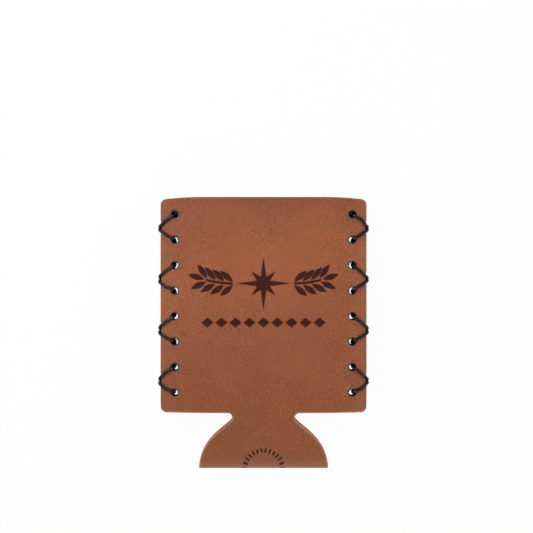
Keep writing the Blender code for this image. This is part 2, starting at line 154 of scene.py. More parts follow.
CORD_RADIUS = CORD_DIAMETER / 2
STAND_OFF = CORD_RADIUS + CORD_SEAT
PASS_PITCH = CORD_DIAMETER + 2 * CORD_SEAT
HOLE_RADIUS = CORD_RADIUS + HOLE_PLAY / 2
HOLES_PER_SIDE = 2 * STITCHES_PER_SIDE
FIRST_HOLE = BLANK_REACH - MOUTH_TO_HOLE
HOLE_PITCH = (PANEL_HEIGHT - MOUTH_TO_HOLE - END_TO_HOLE) / (HOLES_PER_SIDE - 1)
HOLE_COLUMN = PANEL_WIDTH / 2 - HOLE_INSET

FINE_REACH = BASE_END * 0.75
ENGRAVING_CENTRE = BLANK_REACH - ENGRAVING_FROM_MOUTH
BRANCH_START = STAR_RADIUS + BRANCH_GAP
BRANCH_END = HOLE_COLUMN - ENGRAVING_TO_HOLES

# Relief of the worn leather, and the reach of its marks: painted sheen, painted shade and real wear among
# them
RIM_SINK = 0.00012
RIM_SINK_REACH = 0.00040
RIM_SWELL = 0.00015
RIM_SWELL_FROM_RIM = 0.0011
RIM_SWELL_REACH = 0.00065
CREASE_DEPTH = 0.00013
CREASE_COUNT = 9
CREASE_RINGS = 3
CREASE_TURN = 2.4
CREASE_REACH = 0.0016
STRAIN_FROM_RIM = 0.0014
STRAIN_REACH = 0.0024
GROOVE_DEPTH = 0.00018
GROOVE_REACH = 0.00070
GROOVE_BANK = 0.00006
# Leather pressed darker under the cord legs, with painted shade beside them
PRESS_AND_SHADE_REACH = 0.00084
WAVE_HEIGHT = 0.00022
FOLD_CREASE_DEPTH = 0.00006
# Painted sheen on the side strips, where the panels curve away towards the laced edges
SHEEN_STRIP_FROM = 0.0400
SHEEN_STRIP_FADE = 0.0080
LOWER_FADE = 0.0040
LEFT_SHEEN_STRIP = 0.55
# Painted sheen on the lip of the fold
LIP_SHEEN_FROM_FOLD = 0.0010
LIP_SHEEN_REACH = 0.0020
# Painted shade, greyed by painted sheen, on the belt where the base turns down towards the fold
BEND_SHADE_FROM_FOLD = 0.0060
BEND_SHADE_REACH = 0.0030
# Painted shade: near black in the lacing holes and on a thin ring round their rims
RIM_SHADE_FROM_RIM = 0.00022
RIM_SHADE_REACH = 0.00025
MOUTH_SHADE_REACH = 0.0060
# Painted pool of light: the front panel is lighter in a broad patch on its upper middle, which leans across
LIGHT_POOL_FROM_MOUTH = 0.0350
LIGHT_POOL_REACH = 0.0300
LIGHT_POOL_SLOPE = 0.16
HOLE_WEAR = 0.60
PANEL_WEAR = 0.12

# Slow waves, each as height, millimetres per radian across and along, and start
SLOW_WAVES = ((0.50, 12.0, 31.0, 0.7), (0.35, -37.0, 13.5, 2.1), (0.25, 7.1, -9.3, 4.0))

# Creases across the fold, each as radians per millimetre and start
FOLD_CREASES = ((1.7, 0.0), (2.9, 1.0), (4.3, 2.0))

# Sheet mesh
SEED = 7
CURVE_STEPS = 60
SIDE_STEPS = 240
CORNER_STEPS = 12
LEAF_STEPS = 14
STEM_STEPS = 24
INSIDE_ONLY = 1
TOLERANCE = 1e-6
FRONT_SPACING = 0.00066
BACK_SPACING = 0.00100
FOLD_SPACING = 0.00060
INNER_SPACING = 0.00140
OUTLINE_SPACING = 0.00055
ENGRAVING_SPACING = 0.00040
HOLE_SIDES = 36
EDGE_ROUND = 0.00034
RIM_ROUND = 0.00026
ROUND_STEPS = 3
EDGE_ROUGHNESS = 0.000022
CROWDED = 0.5
MILLIMETRE = 0.001
SLOPE_PROBE = 1e-5

# Cord mesh
CORD_STEP = 0.00016
CORD_SIDES = 36
STRANDS = 6
BRAID_LEAD = 0.0052
BRAID_DEPTH = 0.000110
BRAID_HOLLOW = 0.45
LEG_LIFT = 0.00010
CAP_SHARE = 1 / 3
STEEP = 0.9
PATH_SAMPLES = 24
KNOT_SCALE = 0.00062
KNOT_CORD_RADIUS = 0.00064
KNOT_LIFT = 0.00068
KNOT_STEPS = 240
TAIL_LENGTH = 0.0055
TAIL_BEND = (-0.55, 0.12)
TAIL_END = (-1.00, 0.42)

# Colours, linear
LEATHER_COLOUR = (0.290, 0.080, 0.0265)
# Painted sheen, paler and greyer, for the curved side strips and the lip of the fold
PAINTED_SHEEN_COLOUR = (0.375, 0.165, 0.098)
# Painted shade, greyed by painted sheen, for the belt above the fold
BEND_SHADE_COLOUR = (0.225, 0.078, 0.031)
# Darker brown for the leather pressed under the cords with their painted shade, and for the scorched halo
# round the engraving
PRESSED_SCORCHED_AND_SHADE_COLOUR = (0.110, 0.030, 0.014)
# Near black, for the painted shade in and round the lacing holes
RIM_SHADE_COLOUR = (0.0100, 0.0060, 0.0050)
BURNT_COLOUR = (0.052, 0.0125, 0.0095)
RAW_EDGE_COLOUR = (0.560, 0.275, 0.170)
RAW_EDGE_DARK = (0.230, 0.085, 0.040)
SUEDE_COLOUR = (0.330, 0.155, 0.078)
SUEDE_DARK = (0.220, 0.092, 0.043)
CORD_COLOUR = (0.0038, 0.0045, 0.0047)
WAX_TINT = (0.90, 1.00, 1.00)
FLOOR_COLOUR = (0.90, 0.90, 0.90)
WHITE = (1.0, 1.0, 1.0)

# What the marks do to the colour
BEND_SHADE_SHARE = 0.55
SHEEN_STRIP_SHARE = 0.20
PRESS_AND_SHADE_SHARE = 0.55
HALO_SHARE = 0.60
WORN_SHARE = 0.80
# Shades of the painted pool of light, then of the darkening towards the mouth
LIGHT_POOL_SHADES = (0.945, 1.135)
MOUTH_SHADES = (1.00, 0.88)
POLISHED_SHARE = 0.80
POLISHED_WEAR = (0.2, 0.9)

# Noises, each as size of its spots, detail, roughness and stretch
WRINKLES = (0.0016, 4.0, 0.6, (1.0, 0.45, 1.0))
EDGE_FIBRES = (0.0005, 4.0, 0.65, (1.0, 1.0, 2.2))
NAP = (0.0007, 5.0, 0.7)
NAP_CLOUD = (0.009, 3.0)
SOOT = (0.0006, 4.0, 0.6)
CORD_FIBRES = (0.00025, 3.0, 0.6)

# Ranges of values
FULL = (0.0, 1.0)
MIDDLE = (0.35, 0.65)
WIDE = (0.30, 0.70)
SOOT_SHADES = (0.75, 1.30)
CORD_SHADES = (0.70, 1.40)

# Noises with a range of their values, and the shades or roughness that it is spread onto
CLOUD = ((0.026, 2.0), MIDDLE, (0.94, 1.06))
MOTTLE = ((0.0050, 2.0), MIDDLE, (0.97, 1.03))
SPECK = ((0.00030, 0.0), WIDE, (0.60, 1.40))
STRAIN = ((0.0010, 2.0), (0.42, 0.58), (0.82, 1.16))
GRAIN_ROUGHNESS = ((0.003, 3.0), WIDE, (0.52, 0.66))
WAX_ROUGHNESS = ((0.002, 2.0), MIDDLE, (0.20, 0.31))

# Sizes and heights of bumps
WRINKLE_DEPTH = 0.00007
PEBBLE_SIZE = 0.00055
PEBBLE_DEPTH = 0.000035
PORE_PITCH = 0.0011
PORE_VALUES = (0.06, 0.16)
PORE_DEPTH = 0.000022
EDGE_FIBRE_DEPTH = 0.00012
NAP_DEPTH = 0.00018
SOOT_DEPTH = 0.00010
CORD_FIBRE_DEPTH = 0.00004

# Camera and light
PHOTO_WIDTH_PX = 533
PIXEL = 0.000485
OBJECT_FROM_CENTRE_PX = (-2.95, -66.9)
CAMERA_DISTANCE = 0.700
SENSOR_WIDTH = 36.0
FLOOR_SIZE = 3.0
BACKDROP_SHARE = 0.95
WORLD_STRENGTH = 0.31
SOFTBOX_SIZE = 0.4
SOFTBOXES = (
    ("upper_left_softbox", (-0.45, 0.40, 0.55), 3.5),
    ("right_softbox", (0.72, 0.20, 0.20), 2.0),
    ("lower_softbox", (0.0, -0.70, 0.30), 1.0),
    ("overhead_softbox", (0.0, 0.0, 1.05), 1.8),
)

FRONT = 1
BACK = -1
DIAGONAL = math.sqrt(0.5)
GRAIN, RAW_EDGE, SUEDE, BURNT = range(4)


# Form of the folded sleeve

def ease(share):
    share = np.clip(share, 0.0, 1.0)
    return share * share * (3 - 2 * share)


def bell(distance, reach):
    return np.exp(-((distance / reach) ** 2))


def pocket_gap(s):
    """Gap between the two panels on the centre line, at a distance s from the fold line."""
    rise = ease((np.abs(s) - FOLD_HALF_ARC) / (RISE_END - FOLD_HALF_ARC))
    return FOLD_GAP + (POCKET_GAP - FOLD_GAP) * rise


def half_gap(u, s):
    """Half of the gap between the panels, which closes towards the laced edges."""
    gap = pocket_gap(s)
    closing = np.maximum(gap - EDGE_GAP, 0.0) / 2
    share = np.maximum(np.abs(u) - FLAT_HALF_WIDTH, 0.0) / CURVED_STRIP
    return gap / 2 - closing * share * share


def slow_wave(u, s):
    """The hand of the leather: the front panel is never quite flat. It fades out towards the fold."""
    x = u / MILLIMETRE
    y = s / MILLIMETRE
    wave = sum(height * np.sin(x / across + y / along + start) for height, across, along, start in SLOW_WAVES)
    fade = ease((s - BASE_END / 2) / BASE_END)
    return -WAVE_HEIGHT * (1 + wave) / 2 * fade


def panel_middle(u, s):
    """Points halfway through the leather of a panel."""
    side = np.where(s > 0, FRONT, BACK)
    y = FOLD_CENTRE_Y + np.abs(s) - FOLD_HALF_ARC
    z = MIDDLE_HEIGHT + side * (half_gap(u, s) + SHEET_MIDDLE + slow_wave(u, s))
    return np.stack([u + 0 * s, y + 0 * u, z], axis=-1)


def leather_points(u, s, w):
    """Where points of the flat blank lie once the blank is folded."""
    u, s, w = np.broadcast_arrays(np.asarray(u, float), np.asarray(s, float), np.asarray(w, float))
    across = panel_middle(u + SLOPE_PROBE, s) - panel_middle(u - SLOPE_PROBE, s)
    along = panel_middle(u, s + SLOPE_PROBE) - panel_middle(u, s - SLOPE_PROBE)
    outward = np.cross(across, along)
    outward /= np.linalg.norm(outward, axis=-1, keepdims=True)
    on_panel = panel_middle(u, s) + outward * (w - SHEET_MIDDLE)[..., None]
    angle = s / FOLD_RADIUS
    radius = FOLD_RADIUS + w - SHEET_MIDDLE
    y = FOLD_CENTRE_Y - radius * np.cos(angle)
    z = MIDDLE_HEIGHT + radius * np.sin(angle)
    in_fold = np.stack([u, y, z], axis=-1)
    return np.where((np.abs(s) <= FOLD_HALF_ARC)[..., None], in_fold, on_panel)


def hole_place(index):
    """Distance of a lacing hole from the fold line, counted from the mouth."""
    return FIRST_HOLE - index * HOLE_PITCH


def stitch_place(stitch):
    return (hole_place(2 * stitch) + hole_place(2 * stitch + 1)) / 2


def edge_line(s):
    """Half width of a panel at s: each cross stitch draws the edge in a little."""
    stitch = np.clip(np.round((stitch_place(0) - abs(s)) / (2 * HOLE_PITCH)), 0, STITCHES_PER_SIDE - 1)
    distance = np.minimum(np.abs(abs(s) - stitch_place(stitch)), PULL_LENGTH / 2)
    return PANEL_WIDTH / 2 - EDGE_PULL * np.cos(math.pi * distance / PULL_LENGTH) ** 2


# Outlines

def arc(centre, radius, start, end):
    angles = np.radians(np.linspace(start, end, CORNER_STEPS + 1))
    return [(centre[0] + radius * math.cos(a), centre[1] + radius * math.sin(a)) for a in angles]


def mouth_line(u):
    """The mouth edge, which falls a little towards each corner."""
    share = max(abs(u) - (PANEL_WIDTH / 2 - DROOP_LENGTH), 0.0) / DROOP_LENGTH
    return BLANK_REACH - MOUTH_DROOP * share * share


def flare_points():
    """The base's side, from the fold line to the neck."""
    start = Vector((BASE_WIDTH / 2, 0.0))
    pull_start = Vector((BASE_WIDTH / 2, FLARE_ROUND))
    end = Vector((NECK_WIDTH / 2, BASE_END - NECK_FILLET))
    pull_end = Vector((NECK_WIDTH / 2, BASE_END - NECK_FILLET - NECK_STRAIGHT))
    curve = interpolate_bezier(start, pull_start, pull_end, end, CURVE_STEPS + 1)
    return [(point.x, point.y) for point in curve]


def quarter_outline():
    """A quarter of the blank's outline, from the fold line's end to the middle of the mouth."""
    points = flare_points()
    fillet_centre = (NECK_WIDTH / 2 + NECK_FILLET, BASE_END - NECK_FILLET)
    points += arc(fillet_centre, NECK_FILLET, 180, 90)[1:]
    lower_corner_s = BASE_END + LOWER_EDGE_RISE + PANEL_CORNER
    corner_u = PANEL_WIDTH / 2 - PANEL_CORNER
    points += arc((corner_u, lower_corner_s), PANEL_CORNER, -90, 0)
    corner_s = mouth_line(corner_u) - PANEL_CORNER
    for s in np.linspace(lower_corner_s, corner_s, SIDE_STEPS)[1:-1]:
        points.append((float(edge_line(s)), s))
    points += arc((corner_u, corner_s), PANEL_CORNER, 0, 90)
    for u in np.linspace(corner_u, 0.0, CURVE_STEPS)[1:]:
        points.append((u, mouth_line(u)))
    return points


def blank_outline():
    quarter = quarter_outline()
    front_left = [(-u, s) for u, s in reversed(quarter[:-1])]
    back_left = [(-u, -s) for u, s in quarter[1:]]
    back_right = [(u, -s) for u, s in reversed(quarter[1:-1])]
    return np.array(quarter + front_left + back_left + back_right)


def travelled(line):
    """How far along a line each of its points lies."""
    steps = np.linalg.norm(np.diff(line, axis=0), axis=1)
    return np.concatenate([[0.0], np.cumsum(steps)])


def points_along(line, places):
    """The points at some distances along a line."""
    distances = travelled(line)
    return np.column_stack([np.interp(places, distances, column) for column in line.T])


def resampled(outline, spacing):
    """A closed outline with evenly spaced points."""
    closed = np.vstack([outline, outline[:1]])
    length = travelled(closed)[-1]
    return points_along(closed, np.linspace(0.0, length, int(length / spacing), endpoint=False))


def subdivided(outline, spacing):
    """A closed outline that keeps its corners, with each side cut into equal short steps."""
    points = []
    for start, end in zip(outline, np.roll(outline, -1, axis=0)):
        steps = max(1, math.ceil(np.hypot(*(end - start)) / spacing))
        points += [start + (end - start) * step / steps for step in range(steps)]
    return np.array(points)


def inward(outline):
    """How far each corner moves, with mitres, when the outline shrinks by one unit."""
    sides = np.roll(outline, -1, axis=0) - outline
    sides /= np.linalg.norm(sides, axis=1, keepdims=True)
    normal = np.column_stack([-sides[:, 1], sides[:, 0]])
    before = np.roll(normal, 1, axis=0)
    return (normal + before) / (1 + np.sum(normal * before, axis=1, keepdims=True))


# Engraving

def star_outline():
    """An eight-pointed star with its long points up, down and sideways."""
    outline = []
    reaches = (STAR_RADIUS, STAR_WAIST, STAR_SHORT_RADIUS, STAR_WAIST)
    for corner in range(2 * STAR_POINTS):
        angle = corner * math.pi / STAR_POINTS
        reach = reaches[corner % len(reaches)]
        outline.append((reach * math.cos(angle), reach * math.sin(angle)))
    return outline


def turned(outline, direction, place):
    """An outline turned to a direction and moved to a place."""
    cosine = math.cos(direction)
    sine = math.sin(direction)
    return [(place[0] + x * cosine - y * sine, place[1] + x * sine + y * cosine) for x, y in outline]


def leaf_outline():
    """A pointed leaf along +X, with its root at the origin."""
    shares = [step / LEAF_STEPS for step in range(LEAF_STEPS + 1)]
    upper = [(LEAF_LENGTH * share, LEAF_WIDTH / 2 * math.sin(math.pi * share)) for share in shares]
    lower = [(x, -y) for x, y in upper[1:-1]]
    return lower + upper[::-1]


def stem_point(x):
    """A point of the branch's stem, and the direction of the stem there."""
    reach = BRANCH_END - BRANCH_START
    share = (x - BRANCH_START) / reach
    direction = math.atan(2 * BRANCH_ARCH * share / reach)
    return (x, BRANCH_ARCH * share * share), direction


def stem_outline(stem_end):
    spine = [stem_point(x)[0] for x in np.linspace(BRANCH_START, stem_end, STEM_STEPS)]
    lower = [(x, y - STEM_WIDTH / 2) for x, y in spine]
    upper = [(x, y + STEM_WIDTH / 2) for x, y in spine]
    return lower + upper[::-1]


def branch_outlines():
    """The branch on the right of the star: a stem, opposite leaves and one leaf at the tip."""
    stem_end = BRANCH_END - LEAF_LENGTH - STEM_WIDTH
    outlines = [stem_outline(stem_end)]
    pairs = int((stem_end - BRANCH_START) / LEAF_PITCH) + 1
    for pair in range(pairs):
        place, direction = stem_point(BRANCH_START + pair * LEAF_PITCH)
        for side in (1, -1):
            angle = direction + side * LEAF_LEAN
            off_stem = direction + side * math.pi / 2
            root = (place[0] + STEM_WIDTH * math.cos(off_stem), place[1] + STEM_WIDTH * math.sin(off_stem))
            outlines.append(turned(leaf_outline(), angle, root))
    tip, direction = stem_point(stem_end + STEM_WIDTH)
    outlines.append(turned(leaf_outline(), direction, tip))
    return outlines


def lozenge_outlines():
    """A row of lozenges below the star."""
    half_length = LOZENGE_LENGTH / 2
    half_height = LOZENGE_HEIGHT / 2
    corners = [(half_length, 0.0), (0.0, half_height), (-half_length, 0.0), (0.0, -half_height)]
    places = [(number - (LOZENGE_COUNT - 1) / 2) * LOZENGE_PITCH for number in range(LOZENGE_COUNT)]
    return [turned(corners, 0.0, (x, -LOZENGE_DROP)) for x in places]


def ring_outlines():
    """A ring of short strokes around the middle of the base."""
    inner = RING_RADIUS - STROKE_LENGTH / 2
    outer = RING_RADIUS + STROKE_LENGTH / 2
    half = STROKE_WIDTH / 2
    stroke = [(inner, -half), (outer, -half), (outer, half), (inner, half)]
    turns = [2 * math.pi * (number + 0.5) / RING_STROKES for number in range(RING_STROKES)]
    return [turned(stroke, turn, (0.0, 0.0)) for turn in turns]


def engraving_outlines():
    right = branch_outlines()
    left = [[(-x, y) for x, y in reversed(outline)] for outline in right]
    motif = [star_outline()] + right + left + lozenge_outlines()
    placed = [turned(outline, 0.0, (0.0, ENGRAVING_CENTRE)) for outline in motif]
    return [np.array(outline) for outline in placed + ring_outlines()]


# Relief

def nearest_hole(u, s):
    """Offsets from the nearest lacing hole, outwards and along, and that hole's index."""
    index = np.clip(np.round((FIRST_HOLE - np.abs(s)) / HOLE_PITCH), 0, HOLES_PER_SIDE - 1)
    return np.abs(u) - HOLE_COLUMN, np.abs(s) - hole_place(index), index


def stitch_form(u, stitch):
    """How far apart a stitch's two apexes lie, as a share of the usual, and how far its legs bow outwards."""
    right = np.take(RIGHT_STITCHES, stitch, axis=1)
    left = np.take(LEFT_STITCHES, stitch, axis=1)
    return np.where(u > 0, right, left)


def leg_distance(u, s):
    """Distance from the nearest cord leg that lies on the outer face between a hole and the edge."""
    out, along, index = nearest_hole(u, s)
    upper = index % 2 == 0
    spread, upper_bow, lower_bow = stitch_form(u, (index // 2).astype(int))
    along = along * np.where(upper, -1.0, 1.0)
    end_out = HOLE_INSET - EDGE_PULL
    end_along = HOLE_PITCH / 2 - APEX_ALONG[0] * spread + np.where(upper, APEX_DROP, -APEX_DROP)
    bow = np.where(upper, upper_bow, lower_bow) / np.hypot(end_out, end_along)
    bend_out = end_out / 2 + bow * end_along
    bend_along = end_along / 2 - bow * end_out
    first = segment_distance(out, along, bend_out, bend_along)
    second = segment_distance(out - bend_out, along - bend_along, end_out - bend_out, end_along - bend_along)
    return np.minimum(first, second)


def segment_distance(x, y, end_x, end_y):
    """Distance of (x, y) from the straight line between the origin and an end."""
    share = np.clip((x * end_x + y * end_y) / (end_x**2 + end_y**2), 0.0, 1.0)
    return np.hypot(x - share * end_x, y - share * end_y)


def relief(u, s):
    """How far the outer face stands above its plain form at the holes, under the cord and at the fold."""
    out, along, index = nearest_hole(u, s)
    from_rim = np.maximum(np.hypot(out, along) - HOLE_RADIUS, 0.0)
    turn = np.arctan2(along, out)
    height = -RIM_SINK * bell(from_rim, RIM_SINK_REACH)
    height += RIM_SWELL * bell(from_rim - RIM_SWELL_FROM_RIM, RIM_SWELL_REACH)
    round_hole = np.sin(CREASE_COUNT * turn + CREASE_TURN * index + np.sign(u))
    crease = round_hole * np.sin(from_rim / CREASE_REACH * CREASE_RINGS)
    height += CREASE_DEPTH * crease * np.exp(-from_rim / CREASE_REACH)
    distance = leg_distance(u, s)
    height -= GROOVE_DEPTH * bell(distance, GROOVE_REACH)
    height += GROOVE_BANK * bell(distance - 2 * GROOVE_REACH, GROOVE_REACH)
    ripple = sum(np.sin(u / MILLIMETRE * turns + start) for turns, start in FOLD_CREASES)
    height += FOLD_CREASE_DEPTH / len(FOLD_CREASES) * ripple * bell(s, FOLD_HALF_ARC)
    return height


# Leather sheet

class Sheet:
    """Points of the flat blank, with faces between them and soft marks on them."""

    def __init__(self):
        self.points = np.zeros((0, 3))
        self.faces = []
        self.marks = {name: np.zeros(0) for name in ("halo", "worn", "floor")}

    def add(self, outline, w, **marks):
        """Adds points at depth w, and returns their numbers."""
        first = len(self.points)
        w = np.broadcast_to(w, len(outline))
        self.points = np.vstack([self.points, np.column_stack([outline, w])])
        for name, values in self.marks.items():
            new = np.broadcast_to(marks.get(name, 0.0), len(outline))
            self.marks[name] = np.concatenate([values, new])
        return np.arange(first, len(self.points))

    def wall(self, upper, lower):
        """Joins two rings of points, with the leather on their left."""
        for i, j in zip(range(len(upper)), np.roll(range(len(upper)), -1)):
            self.faces.append(((upper[i], lower[i], lower[j], upper[j]), RAW_EDGE))

    def round_wall(self, outline, rounding, worn, roughness):
        """A cut edge from the outer face to the inner one. Returns the numbers of its two end rings."""
        move = inward(outline)
        angles = np.radians(np.linspace(0, 90, ROUND_STEPS + 1))
        profile = [(rounding * (1 - math.sin(a)), LEATHER - rounding * (1 - math.cos(a))) for a in angles]
        profile.append((0.0, SHEET_MIDDLE))
        profile += [(distance, LEATHER - w) for distance, w in reversed(profile[:-1])]
        rings = []
        for step, (distance, w) in enumerate(profile):
            uneven = 0.0
            if 0 < step < len(profile) - 1:
                uneven = dice.normal(0.0, roughness, len(outline))[:, None]
            rings.append(self.add(outline + move * (distance + uneven), w, worn=worn))
        for upper, lower in zip(rings, rings[1:]):
            self.wall(upper, lower)
        return rings[0], rings[-1]

    def fill(self, rings, loose, zone):
        """Triangles of one face of the leather, between its rings and through its loose points, but not
        inside a lacing hole."""
        numbers = np.concatenate(rings + [loose])
        flat = [Vector(point[:2] / MILLIMETRE) for point in self.points[numbers]]
        edges = []
        first = 0
        for ring in rings:
            edges += [(first + i, first + (i + 1) % len(ring)) for i in range(len(ring))]
            first += len(ring)
        _, _, triangles, origins, _, _ = delaunay_2d_cdt(flat, edges, [], INSIDE_ONLY, TOLERANCE)
        for triangle in triangles:
            corners = [numbers[origins[corner][0]] for corner in triangle]
            out, along, _ = nearest_hole(*self.points[corners].mean(axis=0)[:2])
            if math.hypot(out, along) < HOLE_RADIUS:
                continue
            if zone == SUEDE:
                corners.reverse()
            burnt = zone == GRAIN and max(self.marks["floor"][corners]) > 0
            self.faces.append((tuple(corners), BURNT if burnt else zone))


dice = np.random.default_rng(SEED)


def honeycomb(spacing, low, high):
    """Evenly spread places, in staggered rows, on the strip from s = low to high."""
    row_step = spacing * math.sqrt(3) / 2
    rows = []
    for number, s in enumerate(np.arange(low + row_step / 2, high, row_step)):
        u = np.arange(-PANEL_WIDTH / 2, PANEL_WIDTH / 2, spacing) + spacing / 2 * (number % 2)
        rows.append(np.column_stack([u, np.full(len(u), s)]))
    return np.vstack(rows)


def clear_of(places, tree, distance):
    """The places that no point of the tree is nearer to than distance."""
    return np.array([place for place in places if tree.find((*place, 0.0))[2] > distance])


def inside(places, outline):
    """Which places lie inside a closed outline."""
    found = np.zeros(len(places), bool)
    for (u0, s0), (u1, s1) in zip(outline, np.roll(outline, -1, axis=0)):
        if s0 == s1:
            continue
        crosses = (places[:, 1] > min(s0, s1)) & (places[:, 1] <= max(s0, s1))
        found ^= crosses & (places[:, 0] < u0 + (places[:, 1] - s0) * (u1 - u0) / (s1 - s0))
    return found


def engraved(places, floors):
    """Which places lie on the floor of the engraving."""
    found = np.zeros(len(places), bool)
    for floor in floors:
        low = floor.min(axis=0)
        high = floor.max(axis=0)
        near = np.flatnonzero(np.all((places > low) & (places < high), axis=1))
        found[near] |= inside(places[near], floor)
    return found


def hole_outlines():
    """The lacing holes, clockwise, so that the leather is on their left."""
    turn = np.linspace(0, -2 * math.pi, HOLE_SIDES, endpoint=False)
    circle = HOLE_RADIUS * np.column_stack([np.cos(turn), np.sin(turn)])
    places = []
    for side in (FRONT, BACK):
        for column in (-HOLE_COLUMN, HOLE_COLUMN):
            places += [(column, side * hole_place(index)) for index in range(HOLES_PER_SIDE)]
    return [circle + np.array(place) for place in places]


def edge_wear(outline):
    """The cut edge is paler round the flare of the base than along the panels."""
    s = np.abs(outline[:, 1])
    return PANEL_WEAR + (1 - PANEL_WEAR) * ease((BASE_END + PANEL_CORNER - s) / PANEL_CORNER)


def leather_sheet():
    sheet = Sheet()
    outline = resampled(blank_outline(), OUTLINE_SPACING)
    walls = [sheet.round_wall(outline, EDGE_ROUND, edge_wear(outline), EDGE_ROUGHNESS)]
    for hole in hole_outlines():
        walls.append(sheet.round_wall(hole, RIM_ROUND, HOLE_WEAR, EDGE_ROUGHNESS / 2))
    outer_rings = [outer for outer, _ in walls]
    inner_rings = [inner for _, inner in walls]
    floors = []
    for shape in engraving_outlines():
        floors.append(shape + ENGRAVING_WALL * inward(shape))
        outer_rings.append(sheet.add(subdivided(shape, ENGRAVING_SPACING), LEATHER, halo=1.0))
        floor_ring = subdivided(floors[-1], ENGRAVING_SPACING)
        outer_rings.append(sheet.add(floor_ring, LEATHER - ENGRAVING_DEPTH, floor=1.0))

    rings = ring_tree(sheet, outer_rings)
    places = []
    for spacing, low, high in (
        (BACK_SPACING, -BLANK_REACH, -FINE_REACH),
        (FOLD_SPACING, -FINE_REACH, FINE_REACH),
        (FRONT_SPACING, FINE_REACH, BLANK_REACH),
    ):
        places.append(clear_of(honeycomb(spacing, low, high), rings, spacing * CROWDED))
    places = np.vstack(places)
    on_floor = engraved(places, floors)
    w = np.where(on_floor, LEATHER - ENGRAVING_DEPTH, LEATHER)
    sheet.fill(outer_rings, sheet.add(places, w, floor=on_floor), GRAIN)
    places = honeycomb(INNER_SPACING, -BLANK_REACH, BLANK_REACH)
    places = clear_of(places, ring_tree(sheet, inner_rings), INNER_SPACING * CROWDED)
    sheet.fill(inner_rings, sheet.add(places, 0.0), SUEDE)
    return sheet


def ring_tree(sheet, rings):
    """The flat places of the rings' points, ready to be searched."""
    points = sheet.points[np.concatenate(rings)]
    tree = KDTree(len(points))
    for number, (u, s, _) in enumerate(points):
        tree.insert((u, s, 0.0), number)
    tree.balance()
    return tree


def soft_marks(sheet):
    """Marks that the leather's material reads: each is a value from 0 to 1 at every point."""
    u, s, _ = sheet.points.T
    on_panel = ease((np.abs(s) - BASE_END) / LOWER_FADE)
    # Pressed leather under the cord legs, with painted shade beside them
    press_and_shade = np.where(np.abs(u) < PANEL_WIDTH / 2, bell(leg_distance(u, s), PRESS_AND_SHADE_REACH), 0.0)
    out, along, _ = nearest_hole(u, s)
    from_rim = np.hypot(out, along) - HOLE_RADIUS
    light_pool_s = BLANK_REACH - LIGHT_POOL_FROM_MOUTH + LIGHT_POOL_SLOPE * u
    return {
        "halo": sheet.marks["halo"],
        "worn": sheet.marks["worn"],
        "press_and_shade": press_and_shade * on_panel,
        # painted sheen on the curved side strips
        "strip": ease((np.abs(u) - SHEEN_STRIP_FROM) / SHEEN_STRIP_FADE) * np.where(u > 0, 1.0, LEFT_SHEEN_STRIP) * on_panel,
        # painted sheen on the lip of the fold
        "painted_lip_sheen": bell(np.abs(s) - LIP_SHEEN_FROM_FOLD, LIP_SHEEN_REACH),
        # painted shade on the belt above the fold
        "bend": bell(np.abs(s) - BEND_SHADE_FROM_FOLD, BEND_SHADE_REACH),
        "strain": bell(from_rim - STRAIN_FROM_RIM, STRAIN_REACH),
        # painted shade in and round the lacing holes
        "burn": bell(np.maximum(from_rim - RIM_SHADE_FROM_RIM, 0.0), RIM_SHADE_REACH),
        # painted pool of light on the upper middle of the front panel
        "painted_light_pool": bell(np.abs(s) - light_pool_s, LIGHT_POOL_REACH),
        "mouth": bell(BLANK_REACH - np.abs(s), MOUTH_SHADE_REACH),
    }


def mesh_piece(name, points, faces, materials, zones=None, marks=None):
    mesh = bpy.data.meshes.new(name)
    mesh.from_pydata(points.tolist(), [], faces)
    for material in materials:
        mesh.materials.append(material)
    if zones is not None:
        mesh.polygons.foreach_set("material_index", zones)
    for mark, values in (marks or {}).items():
        layer = mesh.attributes.new(mark, "FLOAT", "POINT")
        layer.data.foreach_set("value", values.astype(np.float32))
    mesh.shade_smooth()
    mesh.update()
    piece = bpy.data.objects.new(name, mesh)
    bpy.context.scene.collection.objects.link(piece)
    return piece


def leather_piece():
    sheet = leather_sheet()
    u, s, w = sheet.points.T
    w = w + relief(u, s) * (w / LEATHER) ** 2
    used = sorted({corner for corners, _ in sheet.faces for corner in corners})
    renumbered = np.zeros(len(sheet.points), int)
    renumbered[used] = np.arange(len(used))
    faces = [tuple(int(renumbered[corner]) for corner in corners) for corners, _ in sheet.faces]
    zones = [zone for _, zone in sheet.faces]
    folded = leather_points(u[used], s[used], w[used])
    materials = [grain_material(), raw_edge_material(), suede_material(), burnt_material()]
    marks = {name: values[used] for name, values in soft_marks(sheet).items()}
    return mesh_piece("brown_leather_sleeve", folded, faces, materials, zones, marks)


# Laces

def lace_passes():
    """Each pass of the cord round the laced edge, as the hole it leaves, the hole it enters, and whether it
    dips into the gap between the edges where it crosses the stitch's other pass. The cord goes down the
    edge and comes back up."""
    down = []
    side = FRONT
    for stitch in range(STITCHES_PER_SIDE):
        down.append(((side, 2 * stitch), (-side, 2 * stitch + 1), stitch % 2 == 1))
        side = -side
    up = [((start[0], end[1]), (end[0], start[1]), not dips) for start, end, dips in reversed(down)]
    return down + up


def beside_hole(hole, direction, reach, w):
    """A point at depth w and at a reach from a hole's axis, along a direction (across, along)."""
    side, index = hole
    u = HOLE_COLUMN + direction[0] * reach
    s = hole_place(index) + direction[1] * reach
    return leather_points(u, side * s, w)


